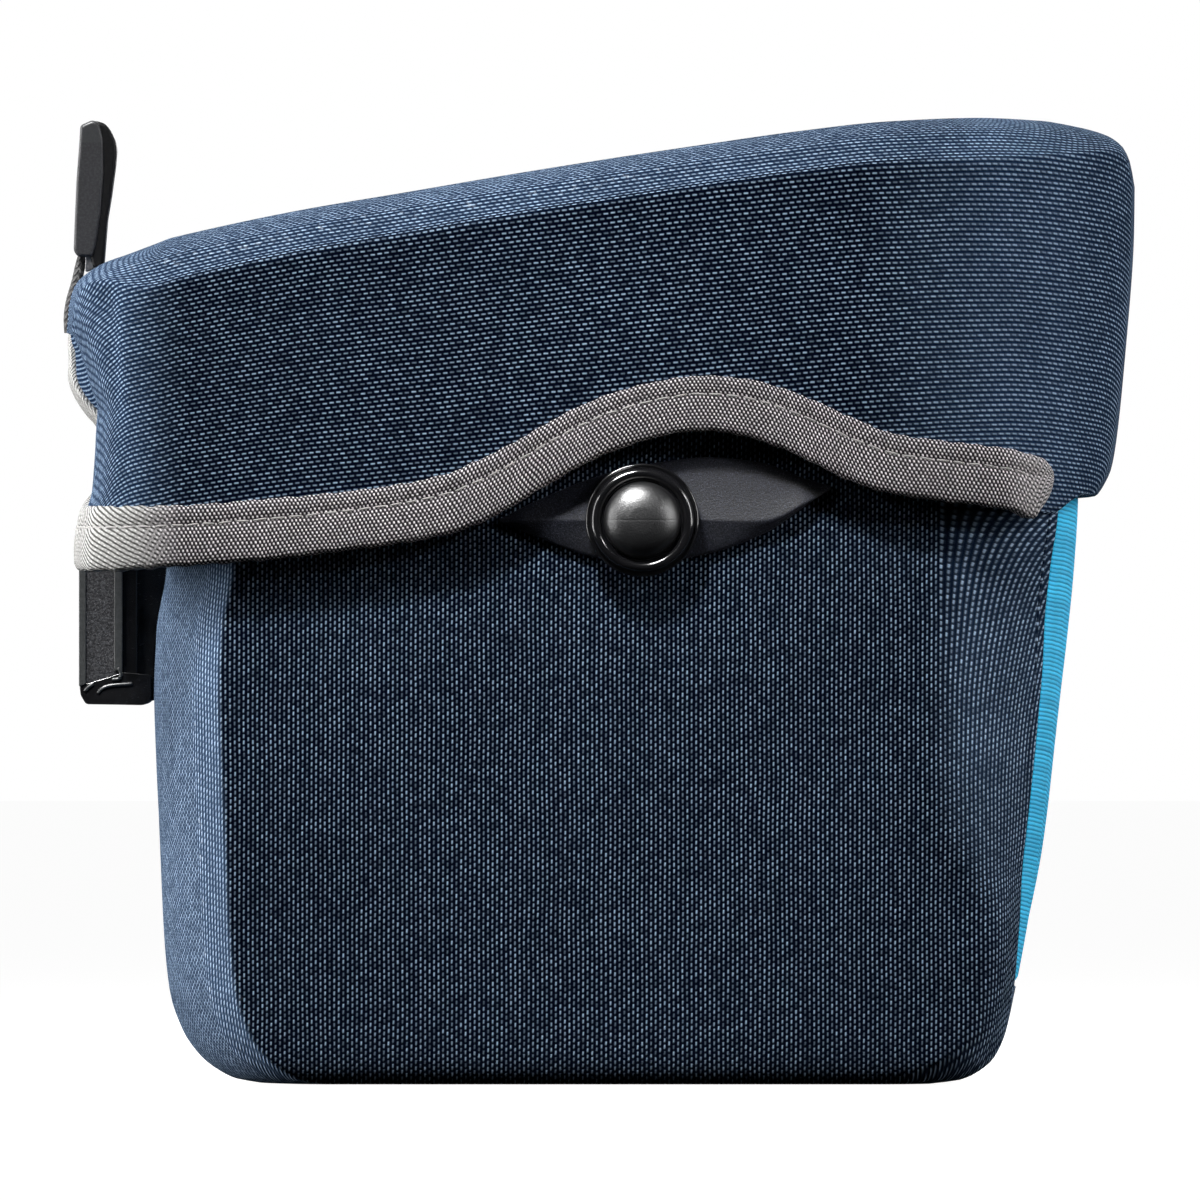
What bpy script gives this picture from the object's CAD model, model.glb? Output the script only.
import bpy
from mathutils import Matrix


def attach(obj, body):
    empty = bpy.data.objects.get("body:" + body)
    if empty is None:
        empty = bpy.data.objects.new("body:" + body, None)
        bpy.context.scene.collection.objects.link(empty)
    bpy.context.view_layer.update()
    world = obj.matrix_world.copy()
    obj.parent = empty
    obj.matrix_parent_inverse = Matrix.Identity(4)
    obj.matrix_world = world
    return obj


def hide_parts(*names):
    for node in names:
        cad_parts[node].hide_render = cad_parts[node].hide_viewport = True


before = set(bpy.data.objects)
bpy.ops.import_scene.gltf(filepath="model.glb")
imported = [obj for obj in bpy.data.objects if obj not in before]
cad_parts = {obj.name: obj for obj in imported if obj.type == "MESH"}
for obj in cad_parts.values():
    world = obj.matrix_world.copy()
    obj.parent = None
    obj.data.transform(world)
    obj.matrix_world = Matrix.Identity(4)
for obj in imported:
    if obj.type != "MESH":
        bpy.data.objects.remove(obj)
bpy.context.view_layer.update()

import math

import bmesh
import bpy
import numpy as np
from mathutils import Vector

MM = 0.001
rng = np.random.default_rng(7)

# ------------------------------------------------------------------ sizes, in millimetres, as in the CAD part
BODY_HALF_WIDTH = 113.5
BODY_ROWS = [  # z, back, front, bow, roll
    (0, -68.0, 66.0, 0.2, 5.0), (0.8, -72.4, 72.0, 0.2, 2.6), (2.4, -75.8, 75.6, 0.2, 1.1), (5.2, -79.4, 78.8, 0.3, 0.2),
    (10.4, -83.0, 81.2, 0.4, 0), (18.4, -85.6, 83.0, 0.6, 0), (30, -86.8, 85.4, 1.8, 0), (46, -87.6, 88.4, 3.8, 0),
    (66, -88.5, 91.0, 4.2, 0), (78, -88.9, 92.4, 4.5, 0), (90, -88.4, 93.8, 4.7, 0), (102, -86.2, 95.0, 4.5, 0),
    (114, -85.6, 95.8, 3.6, 0), (134, -85.0, 96.4, 3.4, 0), (156, -84.6, 96.8, 3.2, 0),
]
BODY_DENTS = [(74, 92, 1.1, 9), (79, 74, 1.4, 10), (76, 38, 0.8, 9)]
FRONT_CREASE = [(0, 58), (5, 69), (11, 75), (19, 77), (29, 78), (37, 77), (45, 73), (52, 70.2), (60, 69), (111, 69), (156, 69)]
PANEL_HALF, PANEL_BOTTOM, PANEL_CORNER = 101.7, 19.0, 8.0
LID_HALF_WIDTH = 121.1
LID_BACK = (-88.8, 98.0, 16.6)
LID_FRONT = (70.0, 93.0, 37.6)
LID_TOP = [
    (-105.4, 150.0), (-104.9, 155.6), (-103.6, 159.8), (-101.6, 161.9), (-98.8, 163.9), (-95.8, 165.1), (-87.8, 168.0),
    (-79.8, 170.0), (-59.8, 174.2), (-39.8, 177.6), (-19.8, 181.0), (0.2, 184.2), (20.2, 187.2), (40.2, 190.0),
    (58, 191.9), (76.2, 192.6), (88.2, 192.0), (96.2, 190.7), (102, 189.1), (105, 187.2), (106.6, 184.2), (107.6, 179.0),
]
LID_SHOULDER = [(0, 8.5), (2.8, 6.2), (6.6, 3.0), (11.0, 1.3), (16.5, 0.2)]
LID_LEAN = [(112, 10.4), (114.4, 9.8), (116.4, 8.4), (118.8, 6.6), (123, 4.7), (132, 3.3), (152, 1.4), (170, 0.2), (179, 0)]
HEM = [
    (-97.4, 102.2, 115.0), (-86.2, 103.0, 115.2), (-63.8, 104.6, 116.8), (-52.6, 106.0, 117.8), (-41.4, 107.4, 119.2),
    (-30.2, 109.4, 121.6), (-24.6, 111.3, 124.0), (-19.0, 114.0, 126.7), (-13.4, 117.4, 129.8), (-7.8, 120.7, 133.0),
    (-2.2, 123.8, 135.7), (3.4, 126.2, 137.8), (9.0, 128.0, 139.3), (14.6, 129.4, 140.4), (20.2, 130.0, 141.0),
    (25.8, 129.6, 140.8), (31.4, 128.3, 140.0), (37.0, 126.3, 138.4), (42.6, 123.8, 136.3), (48.2, 121.0, 133.8),
    (53.8, 118.8, 131.4), (59.4, 117.4, 129.4), (70.6, 115.8, 127.9), (81.8, 114.4, 126.6), (89.0, 112.6, 125.0),
    (92.6, 112.6, 124.0), (97, 113.1, 124),
]
KNOB = (8.6, 117.5, 112.3)
PLATE_ROWS = [  # along, above, ridge, below
    (0, 0.3, 0, 0.3), (6, 2.6, 0.6, 3.4), (12, 4.6, 1.2, 6.6), (18, 6.3, 1.8, 9.2), (28, 8.1, 2.7, 11.6), (40, 8.6, 4.0, 10.8),
    (52.7, 6.4, 5.2, 7.6), (61.5, 2.2, 2.2, 2.8), (66.3, 0.3, 0, 0.3),
]


# ------------------------------------------------------------------ numbers
def through(points):
    """A smooth curve through points that never overshoots between them."""
    xs, ys = (np.array([p[k] for p in points], float) for k in (0, 1))
    h = np.diff(xs)
    d = np.diff(ys) / h
    m = np.zeros_like(xs)
    a, b = d[:-1], d[1:]
    same = a * b > 0
    m[1:-1] = np.where(same, 2 * a * b / np.where(same, a + b, 1), 0)
    m[0], m[-1] = d[0], d[-1]

    def f(x):
        x = np.clip(np.asarray(x, float), xs[0], xs[-1])
        i = np.clip(np.searchsorted(xs, x, side="right") - 1, 0, len(h) - 1)
        t = (x - xs[i]) / h[i]
        return (
            (2 * t**3 - 3 * t**2 + 1) * ys[i]
            + (t**3 - 2 * t**2 + t) * h[i] * m[i]
            + (3 * t**2 - 2 * t**3) * ys[i + 1]
            + (t**3 - t**2) * h[i] * m[i + 1]
        )

    return f


def smoothstep(a, b, x):
    t = np.clip((np.asarray(x, float) - a) / (b - a), 0, 1)
    return t * t * (3 - 2 * t)


def bell(x, centre, spread):
    return np.exp(-(((np.asarray(x, float) - centre) / spread) ** 2))


WAVES = [(rng.uniform(-1, 1, 3), rng.uniform(0, 6.28), rng.uniform(0.5, 1)) for _ in range(9)]


def waviness(x, y, z, size):
    """Slow unevenness of hand-made cloth, between about -1 and 1."""
    total = 0
    for direction, phase, weight in WAVES:
        k = direction * 6.28 / size
        total = total + weight * np.sin(k[0] * x + k[1] * y + k[2] * z + phase)
    return total / 4


def rounded(points, radii, lines, arc):
    """A polyline with rounded corners, always sampled the same number of times."""
    points = [np.array(p, float) for p in points]
    out = [points[0]]
    last = points[0]
    for i in range(1, len(points)):
        p = points[i]
        if i < len(points) - 1:
            back, ahead = points[i - 1] - p, points[i + 1] - p
            lb, la = np.linalg.norm(back), np.linalg.norm(ahead)
            r = min(radii[i], 0.49 * lb, 0.49 * la)
            a, b = p + back / lb * r, p + ahead / la * r
        else:
            a = p
        n = lines[i - 1]
        out += [last + (a - last) * k / n for k in range(1, n + 1)]
        if i < len(points) - 1:
            for k in range(1, arc + 1):
                t = k / arc
                out.append((1 - t) ** 2 * a + 2 * t * (1 - t) * p + t**2 * b)
            last = b
    return np.array(out)


# ------------------------------------------------------------------ meshes
class Builder:
    """Collects grids of points, in millimetres, with places on the cloth and an edge value, into one mesh."""

    def __init__(self):
        self.v, self.e, self.f, self.uv, self.m, self.n = [], [], [], [], [], 0

    def add(self, points, edge=None):
        points = np.asarray(points, float).reshape(-1, 3)
        self.v.append(points)
        self.e.append(np.zeros(len(points)) if edge is None else np.broadcast_to(np.asarray(edge, float).reshape(-1), (len(points),)))
        self.n += len(points)
        return self.n - len(points)

    def grid(self, points, uv=None, edge=None, flip=False, material=0, close=False):
        points = np.asarray(points, float)
        rows, cols = points.shape[:2]
        uv = points[..., :2] if uv is None else np.asarray(uv, float)
        first = self.add(points, edge)
        span = cols if close else cols - 1
        for r in range(rows - 1):
            for c in range(span):
                d = (c + 1) % cols
                corner = [(r, c), (r, d), (r + 1, d), (r + 1, c)]
                if flip:
                    corner.reverse()
                self.f.append([first + a * cols + b for a, b in corner])
                self.uv.append([uv[a][b] for a, b in corner])
                self.m.append(material)
        return first

    def fan(self, ring, centre, uv=None, edge=None, flip=False, material=0):
        ring = np.asarray(ring, float)
        first = self.add(np.vstack([ring, [centre]]), edge)
        n = len(ring)
        place = np.vstack([ring, [centre]])[:, :2] if uv is None else uv
        for i in range(n):
            corner = [i, (i + 1) % n, n]
            if flip:
                corner.reverse()
            self.f.append([first + k for k in corner])
            self.uv.append([place[k] for k in corner])
            self.m.append(material)

    def mesh(self, name, materials, merge=0.002, smooth=True):
        v = np.vstack(self.v) * MM
        me = bpy.data.meshes.new(name)
        me.from_pydata(v.tolist(), [], self.f)
        layer = me.uv_layers.new(name="UVMap")
        flat = np.array([c for face in self.uv for c in face], float) * MM
        layer.uv.foreach_set("vector", flat.astype(np.float32).reshape(-1))
        at = me.attributes.new("edge", "FLOAT", "POINT")
        at.data.foreach_set("value", np.concatenate(self.e).astype(np.float32))
        for m in materials:
            me.materials.append(m)
        me.polygons.foreach_set("material_index", self.m)
        me.polygons.foreach_set("use_smooth", [smooth] * len(self.f))
        bm = bmesh.new()
        bm.from_mesh(me)
        if merge:
            bmesh.ops.remove_doubles(bm, verts=bm.verts, dist=merge * MM)
            bmesh.ops.dissolve_degenerate(bm, edges=bm.edges, dist=merge * MM * 0.5)
        bmesh.ops.recalc_face_normals(bm, faces=bm.faces)
        bm.to_mesh(me)
        bm.free()
        ob = bpy.data.objects.new(name, me)
        bpy.context.scene.collection.objects.link(ob)
        return ob


def turned_out(ob):
    """Faces of an open shell point away from the middle of the bag."""
    me = ob.data
    middle = Vector((0, 0, 0.09))
    total = sum((p.center - middle).dot(p.normal) * p.area for p in me.polygons)
    if total < 0:
        me.flip_normals()
    return ob


def wall(ob, thickness):
    m = ob.modifiers.new("wall", "SOLIDIFY")
    m.thickness = thickness * MM
    m.offset = -1
    m.use_rim = True
    return ob


def soften(ob, width, segments=3, angle=30):
    m = ob.modifiers.new("soften", "BEVEL")
    m.width = width * MM
    m.segments = segments
    m.limit_method = "ANGLE"
    m.angle_limit = math.radians(angle)
    m.harden_normals = False
    return ob


def piece(ob, slot, *nodes):
    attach(ob, "root")
    if nodes:
        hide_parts(*nodes)
    return ob


# ------------------------------------------------------------------ node arithmetic
class X:
    """One value in a node tree."""

    def __init__(self, tree, socket):
        self.tree, self.socket = tree, socket

    def do(self, operation, *others, clamp=False):
        n = self.tree.nodes.new("ShaderNodeMath")
        n.operation = operation
        n.use_clamp = clamp
        for i, v in enumerate((self, *others)):
            if isinstance(v, X):
                self.tree.links.new(v.socket, n.inputs[i])
            else:
                n.inputs[i].default_value = v
        return X(self.tree, n.outputs[0])

    def __add__(self, o):
        return self.do("ADD", o)

    def __sub__(self, o):
        return self.do("SUBTRACT", o)

    def __mul__(self, o):
        return self.do("MULTIPLY", o)

    def __truediv__(self, o):
        return self.do("DIVIDE", o)

    def floor(self):
        return self.do("FLOOR")

    def cos(self):
        return self.do("COSINE")

    def sin(self):
        return self.do("SINE")

    def power(self, o):
        return self.do("POWER", o)

    def clamp(self):
        return self.do("ADD", 0.0, clamp=True)

    def rest(self):
        """1 minus this."""
        return self.do("MULTIPLY_ADD", -1.0, 1.0)

    def step(self, low, high):
        n = self.tree.nodes.new("ShaderNodeMapRange")
        n.interpolation_type = "SMOOTHSTEP"
        self.tree.links.new(self.socket, n.inputs["Value"])
        n.inputs["From Min"].default_value, n.inputs["From Max"].default_value = low, high
        return X(self.tree, n.outputs["Result"])

    def toward(self, other, share):
        """This value moved toward another by a share."""
        return self + (other - self) * share if isinstance(other, X) else self + (self * -1.0 + other) * share


class Tree:
    def __init__(self, name, **principled):
        self.material = bpy.data.materials.new(name)
        self.material.use_nodes = True
        self.nt = self.material.node_tree
        self.shader = self.nt.nodes["Principled BSDF"]
        for key, value in principled.items():
            self.shader.inputs[key.replace("_", " ")].default_value = value

    def uv(self):
        n = self.nt.nodes.new("ShaderNodeUVMap")
        n.uv_map = "UVMap"
        s = self.nt.nodes.new("ShaderNodeSeparateXYZ")
        self.nt.links.new(n.outputs[0], s.inputs[0])
        return X(self.nt, s.outputs[0]) * 1000.0, X(self.nt, s.outputs[1]) * 1000.0

    def place(self):
        n = self.nt.nodes.new("ShaderNodeTexCoord")
        s = self.nt.nodes.new("ShaderNodeSeparateXYZ")
        self.nt.links.new(n.outputs["Object"], s.inputs[0])
        return [X(self.nt, s.outputs[k]) * 1000.0 for k in range(3)]

    def attribute(self, name):
        n = self.nt.nodes.new("ShaderNodeAttribute")
        n.attribute_name = name
        return X(self.nt, n.outputs["Fac"])

    def vector(self, *parts):
        n = self.nt.nodes.new("ShaderNodeCombineXYZ")
        for i, p in enumerate(parts):
            if isinstance(p, X):
                self.nt.links.new(p.socket, n.inputs[i])
            else:
                n.inputs[i].default_value = p
        return n.outputs[0]

    def noise(self, where, scale, detail=2.0, roughness=0.5):
        n = self.nt.nodes.new("ShaderNodeTexNoise")
        n.inputs["Scale"].default_value = scale
        n.inputs["Detail"].default_value = detail
        n.inputs["Roughness"].default_value = roughness
        self.nt.links.new(self.vector(*where), n.inputs["Vector"])
        return X(self.nt, n.outputs[0])

    def chance(self, *where):
        n = self.nt.nodes.new("ShaderNodeTexWhiteNoise")
        n.noise_dimensions = "3D"
        self.nt.links.new(self.vector(*where), n.inputs["Vector"])
        return X(self.nt, n.outputs["Value"])

    def voronoi(self, where, scale, feature="F1"):
        n = self.nt.nodes.new("ShaderNodeTexVoronoi")
        n.feature = feature
        n.inputs["Scale"].default_value = scale
        self.nt.links.new(self.vector(*where), n.inputs["Vector"])
        return X(self.nt, n.outputs["Distance"])

    def mix(self, share, a, b):
        n = self.nt.nodes.new("ShaderNodeMix")
        n.data_type = "RGBA"
        self.nt.links.new(share.socket, n.inputs[0])
        for value, i in ((a, 6), (b, 7)):
            if isinstance(value, tuple):
                n.inputs[i].default_value = (*value, 1)
            else:
                self.nt.links.new(value, n.inputs[i])
        return n.outputs[2]

    def tint(self, colour, factor):
        """Colour times a value."""
        n = self.nt.nodes.new("ShaderNodeVectorMath")
        n.operation = "SCALE"
        self.nt.links.new(colour, n.inputs[0])
        self.nt.links.new(factor.socket, n.inputs["Scale"])
        return n.outputs[0]

    def colour(self, socket):
        self.nt.links.new(socket, self.shader.inputs["Base Color"])

    def rough(self, value):
        self.nt.links.new(value.socket, self.shader.inputs["Roughness"])

    def bump(self, height, distance, strength=1.0):
        """Relief; distance in millimetres."""
        n = self.nt.nodes.new("ShaderNodeBump")
        n.inputs["Strength"].default_value = strength
        n.inputs["Distance"].default_value = distance * MM
        self.nt.links.new(height.socket, n.inputs["Height"])
        self.nt.links.new(n.outputs[0], self.shader.inputs["Normal"])


TAU = 2 * math.pi


def coarse_cloth(name, across, along, dark, light, roll_dark, roll_light, relief=0.2, slant=0.10):
    """Coarse filament cloth: short floats along U in rows across V, laid like bricks. The edge value softens it on rolls."""
    t = Tree(name, Roughness=0.7, Specular_IOR_Level=0.0)
    u, v = t.uv()
    x, y, z = t.place()
    edge = t.attribute("edge")
    v = v + (t.noise((u, v, 0.0), 0.045, 2.0) - 0.5) * 0.6
    row = v / across
    row_no = row.floor()
    within = row - row_no - 0.5
    shift = row_no * 0.5 - (row_no * 0.5).floor()
    lane = t.chance(row_no, 3.0, 0.0)
    along_v = u / along + shift + (lane - 0.5) * 0.14 + (t.noise((u * 0.25, row_no * 7.3, 0.0), 1.0, 1.0) - 0.5) * 0.3
    cell = (along_v + 0.5).floor()
    phase = along_v - cell
    spark = t.chance(row_no, cell, 1.0)
    over = phase.do("ABSOLUTE").step(0.43, 0.17)
    over = over.toward(0.85, (edge * 0.20).clamp())
    lean = within - phase * slant
    bulge = lean.do("ABSOLUTE").step(0.29, 0.0)
    body_of_yarn = lean.do("ABSOLUTE").step(0.52, 0.25)
    fibre = t.noise((u * 0.8, v * 5.0, 0.0), 2.2, 2.0)
    mask = over * bulge
    bright = (spark * 1.0 + 0.30) * (fibre * 0.9 + 0.55)
    bright = bright.toward(1.0, (edge * 0.3).clamp())
    gap = phase.do("ABSOLUTE").step(0.34, 0.5) * (within * math.pi).cos()
    share = (mask * bright + gap * 0.006 + over * body_of_yarn * 0.008).clamp()
    flat = t.mix(share, dark, light)
    roll = t.mix((share * 1.15 + body_of_yarn * 0.08).clamp(), roll_dark, roll_light)
    body = t.mix(edge.clamp(), flat, roll)
    large = t.noise((x, y, z), 0.035, 3.0)
    medium = t.noise((x, y, z), 0.22, 2.0)
    wear = t.noise((x, y, z), 0.9, 3.0).step(0.56, 0.70) * t.attribute("worn") * spark.step(0.3, 0.7)
    body = t.tint(body, large * 0.5 + medium * 0.25 + 0.63)
    t.colour(t.mix((wear * (bulge * 0.7 + 0.3)).clamp(), body, (0.55, 0.64, 0.76)))
    t.rough(mask * -0.2 + 0.78)
    t.bump(over * body_of_yarn * 0.5 + mask * 0.35 + gap * 0.2 + fibre * 0.1, relief)
    return t.material


def ribbed_cloth(name):
    """Light blue cloth with fine horizontal ribs along U."""
    t = Tree(name, Roughness=0.7, Specular_IOR_Level=0.1)
    u, v = t.uv()
    x, y, z = t.place()
    v = v + (t.noise((u, v, 0.0), 0.06, 2.0) - 0.5) * 0.5
    row = v / 0.84
    row_no = row.floor()
    rib = ((row - row_no - 0.5) * math.pi).cos()
    lane = t.chance(row_no, 5.0, 0.0)
    tick = ((u / 0.42 + lane) * TAU).cos() * 0.5 + 0.5
    fibre = t.noise((u * 2.0, v * 3.0, 0.0), 1.5, 2.0)
    share = (rib.power(0.9) * (lane * 0.5 + 0.62) * (fibre * 0.5 + 0.72) * (tick * 0.22 + 0.85)).clamp()
    base = t.mix(share, (0.010, 0.25, 0.47), (0.045, 0.60, 0.97))
    t.colour(t.tint(base, t.noise((x, y, z), 0.05, 2.0) * 0.3 + 0.85))
    t.bump(rib * 0.8 + tick * 0.15 + fibre * 0.1, 0.16)
    return t.material


def tape_cloth(name):
    """Grey-brown tape: light dots in slanted rows on dark yarn."""
    t = Tree(name, Roughness=0.66, Specular_IOR_Level=0.04)
    u, v = t.uv()
    x, y, z = t.place()
    edge = t.attribute("edge")
    warp = t.noise((u, v, 0.0), 0.11, 2.0)
    v = v + (warp - 0.5) * 1.1
    u = u + (t.noise((u, v, 4.0), 0.09, 2.0) - 0.5) * 1.6
    row = v / 0.70
    row_no = row.floor()
    within = row - row_no - 0.5
    along_v = u / 0.86 + row_no * 0.5 + within * 0.16
    cell = (along_v + 0.5).floor()
    over = (along_v * TAU).cos().step(-0.15, 0.7)
    bulge = (within * math.pi).cos().power(1.3)
    spark = t.chance(row_no, cell, 2.0)
    fibre = t.noise((u * 3.0, v * 3.0, 0.0), 1.5, 2.0)
    dots = over * bulge * (spark * 0.5 + 0.75) * (fibre * 0.6 + 0.75)
    twill = ((u * 0.55 + v * 1.05) * TAU).cos().step(-0.75, 0.35) * (fibre * 0.5 + 0.6) * (over * 0.25 + 0.8)
    share = dots.toward(twill, edge.clamp()).clamp()
    dark = t.mix(edge.clamp(), (0.014, 0.010, 0.013), (0.075, 0.074, 0.070))
    light = t.mix(edge.clamp(), (0.93, 0.865, 0.905), (0.61, 0.605, 0.59))
    base = t.mix(share, dark, light)
    t.colour(t.tint(base, t.noise((x, y, z), 0.07, 2.0) * 0.5 + 0.75))
    t.bump(over * bulge * 0.8 + fibre * 0.15, 0.16)
    return t.material


def webbing_cloth(name):
    t = Tree(name, Roughness=0.6, Specular_IOR_Level=0.35, Sheen_Weight=0.1)
    u, v = t.uv()
    row = v / 1.1
    row_no = row.floor()
    within = row - row_no - 0.5
    side = (row_no * 0.5 - (row_no * 0.5).floor()) * 4.0 - 1.0
    along_v = u / 1.5 + within * side * 0.8
    over = (along_v * TAU).cos().step(-0.6, 0.8)
    bulge = (within * math.pi).cos().power(0.7)
    fibre = t.noise((u * 3.0, v * 3.0, 0.0), 1.5, 2.0)
    share = (over * bulge * (fibre * 0.9 + 0.5)).clamp()
    t.colour(t.mix(share, (0.001, 0.001, 0.0015), (0.038, 0.035, 0.036)))
    t.bump(over * bulge, 0.3)
    return t.material


def grained_plastic(name, dark, light, roughness, grain, relief, speck=0.0, spec=0.5, line=False, cap=None):
    """Moulded plastic with a spark-eroded grain."""
    t = Tree(name, Roughness=roughness, Specular_IOR_Level=spec)
    x, y, z = t.place()
    fine = t.noise((x, y, z), 1.0 / grain, 2.0, 0.65)
    cells = t.voronoi((x, y, z), 1.0 / grain)
    large = t.noise((x, y, z), 0.09, 3.0)
    share = (fine.step(0.38, 0.68) * 0.75 + large * 0.25).clamp()
    base = t.mix(share, dark, light)
    if speck:
        dots = t.noise((x, y, z), 2.2 / grain, 1.0).step(0.62, 0.72)
        base = t.mix((dots * speck).clamp(), base, tuple(min(1, c * 4 + 0.05) for c in light))
    if cap:
        base = t.mix(z.step(cap - 0.25, cap + 0.25) * 0.5, base, (0.060, 0.062, 0.064))
    t.colour(base)
    t.rough(fine * 0.22 + (roughness - 0.11))
    height = fine * 0.6 + cells * 0.6
    if line:
        height = height - (((z - KNOB[2]) * 5.0).power(2.0) * -1.0).do("EXPONENT") * 0.6
    t.bump(height, relief)
    return t.material


def glossy_plastic(name, colour, roughness=0.12, wear=0.25):
    t = Tree(name, Roughness=roughness, Specular_IOR_Level=0.5)
    x, y, z = t.place()
    smear = t.noise((x, y, z), 0.16, 4.0, 0.6)
    scratch = t.noise((x * 0.3, y * 0.3, z * 3.0), 2.4, 2.0).step(0.6, 0.75)
    t.colour(t.mix(smear.step(0.3, 0.8), colour, tuple(c * 1.7 + 0.002 for c in colour)))
    t.rough(smear * wear + scratch * 0.06 + (roughness - wear * 0.4))
    t.bump(smear * 0.7 + scratch * 0.1, 0.03)
    return t.material


def thread(name, colour):
    t = Tree(name, Roughness=0.55, Specular_IOR_Level=0.3, Sheen_Weight=0.3)
    x, y, z = t.place()
    twist = ((x * 2.2 + y * 2.2 + z * 3.0) * TAU).sin() * 0.5 + 0.5
    t.colour(t.mix(twist * 0.6, colour, tuple(c * 0.55 for c in colour)))
    t.bump(twist, 0.05)
    return t.material


LID_CLOTH = coarse_cloth("lid_cloth", 0.92, 1.40, (0.0002, 0.0014, 0.0075), (0.32, 0.43, 0.58), (0.0032, 0.0135, 0.0420), (0.27, 0.37, 0.51))
BODY_CLOTH = coarse_cloth("body_cloth", 0.90, 1.25, (0.0002, 0.0014, 0.0075), (0.32, 0.43, 0.58), (0.0120, 0.0280, 0.0620), (0.33, 0.44, 0.60))
PANEL_CLOTH = ribbed_cloth("panel_cloth")
TAPE_CLOTH = tape_cloth("tape_cloth")
WEBBING_CLOTH = webbing_cloth("webbing_cloth")
PLATE_PLASTIC = grained_plastic("plate_plastic", (0.005, 0.0055, 0.009), (0.024, 0.0275, 0.043), 0.6, 0.34, 0.07, speck=0.55, spec=0.16)
DOME_PLASTIC = grained_plastic("stud_dome_plastic", (0.002, 0.0022, 0.003), (0.005, 0.0055, 0.007), 0.38, 0.28, 0.035, speck=0.06, line=True)
RIM_PLASTIC = glossy_plastic("stud_rim_plastic", (0.006, 0.006, 0.007), 0.12, 0.12)
TAB_PLASTIC = grained_plastic("tab_plastic", (0.034, 0.034, 0.037), (0.056, 0.056, 0.060), 0.42, 0.5, 0.02, cap=188.3, spec=0.14)
BRACKET_GRAIN = grained_plastic("bracket_plastic", (0.010, 0.010, 0.012), (0.075, 0.075, 0.08), 0.5, 0.5, 0.10, speck=0.35, spec=0.12)
BRACKET_RIM = grained_plastic("bracket_rim_plastic", (0.045, 0.047, 0.047), (0.065, 0.069, 0.068), 0.34, 0.8, 0.02, spec=0.3)
BASE_PLASTIC = glossy_plastic("bracket_base_plastic", (0.006, 0.006, 0.007), 0.2, 0.2)
THREAD = thread("stitch_thread", (0.42, 0.40, 0.39))
NAVY_THREAD = thread("navy_thread", (0.10, 0.14, 0.21))


def add_worn(ob, values):
    at = ob.data.attributes.new("worn", "FLOAT", "POINT")
    at.data.foreach_set("value", np.asarray(values, np.float32))


# ------------------------------------------------------------------ body
back_at, front_at, bow_at, roll_at = (through([(r[0], r[k]) for r in BODY_ROWS]) for k in (1, 2, 3, 4))
front_crease_at = through(FRONT_CREASE)
BOW_SHAPE = through([(0, 1), (0.25, 0.95), (0.5, 0.8), (0.75, 0.5), (1, 0)])

row_z = sorted(
    {0, 0.15, 0.4, 0.8, 1.2, 1.7, 2.4, 3.2, 4.2, 5.2, 6.4, 7.8, 9.2, 10.4, 12, 14, 16, 18.4, 19.0}
    | {round(19 + 2.2 * k, 3) for k in range(1, 63) if 19 + 2.2 * k < 155.5}
    | {27.0, 156.0}
)


def body_height(z, x):
    rim = 156 + 0.08 * x
    return np.where(z <= 114, z, 114 + (rim - 114) * (z - 114) / 42)


def body_dent(x, z):
    total = 0
    for cx, cz, depth, spread in BODY_DENTS:
        total = total + depth * 1.35 * np.exp(-((x - cx) ** 2 + (z - cz) ** 2) / spread**2)
    # a soft ridge and hollow that run down from under the lid's front corner, and one low fold
    total = total - 0.9 * bell(x, 70 - (100 - z) * 0.06, 3.2) * smoothstep(40, 66, z) * smoothstep(118, 96, z)
    total = total + 0.8 * bell(x - 82 + (z - 34) * 0.12, 0, 2.6) * bell(z, 30, 15)
    return total


def body_half(z):
    back, front, bow, roll = (float(f(z)) for f in (back_at, front_at, bow_at, roll_at))
    side, edge = BODY_HALF_WIDTH - roll, front - bow - 0.8 * float(smoothstep(80, 97, z))
    crease, fc = back + 13.4, min(float(front_crease_at(z)), front - 6)
    ctrl = [
        (back - 0.3, 0),
        (back, side - 36),
        (back + 3.2, side - 20),
        (back + 8, side - 6.4),
        (crease, side),
        (fc, side),
        (fc + (edge - fc) * 0.58, side - 3.6),
        (edge, side - 11),
    ]
    pts = rounded(ctrl, [0, 20, 8, 1.6, 0.9, 6, 7, 0], [16, 6, 7, 6, 56, 4, 6], 5)
    return pts, crease, fc, edge, side


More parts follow.
